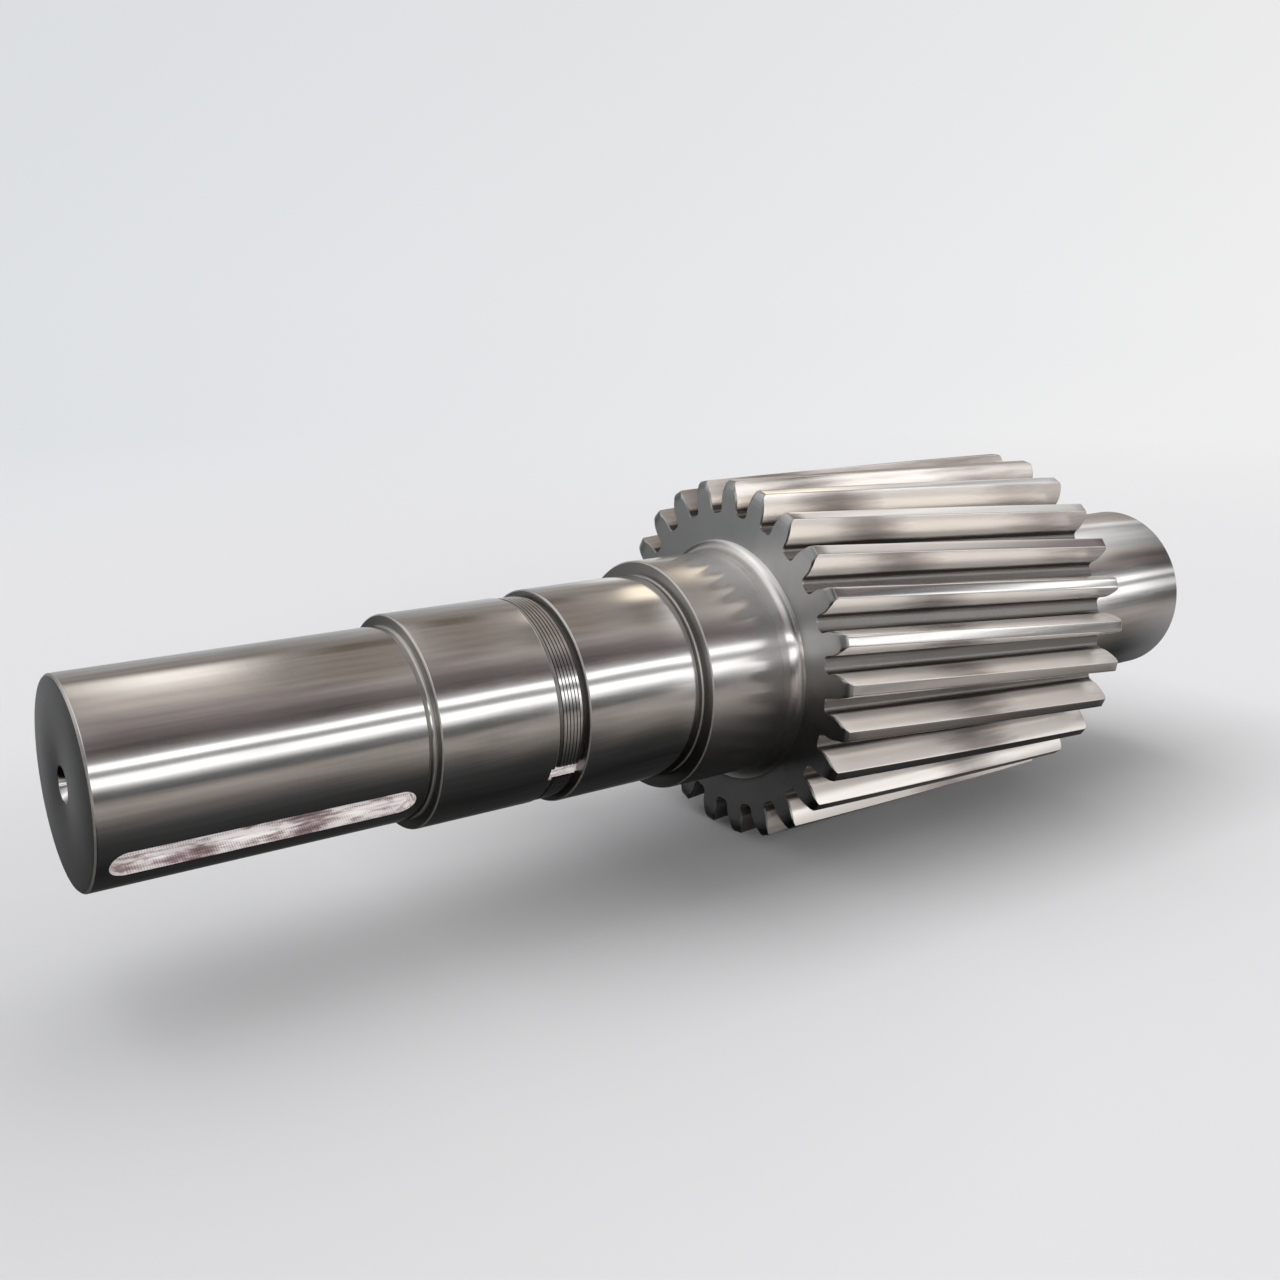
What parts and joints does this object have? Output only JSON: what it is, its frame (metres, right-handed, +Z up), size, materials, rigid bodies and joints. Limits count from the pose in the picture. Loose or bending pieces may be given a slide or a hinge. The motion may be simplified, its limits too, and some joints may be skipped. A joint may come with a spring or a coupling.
{
  "type": "helical pinion shaft",
  "caption": "Solid steel pinion shaft: a wide helical gear cut on a stepped shaft with a keyed drive end, locknut thread, collar and bearing seats.",
  "frame": {"origin": "on the shaft axis, in the end face of the keyed drive end", "axes": "+X along the shaft axis from the keyed drive end to the far bearing seat, +Z up, with the teeth lowest"},
  "size_m": [0.7425, 0.2136, 0.2136],
  "materials": {
    "machined_steel": "turned and ground bright, with a light film of oil"
  },
  "bodies": {
    "root": {"pinion_shaft": "machined_steel"}
  },
  "joints": []
}
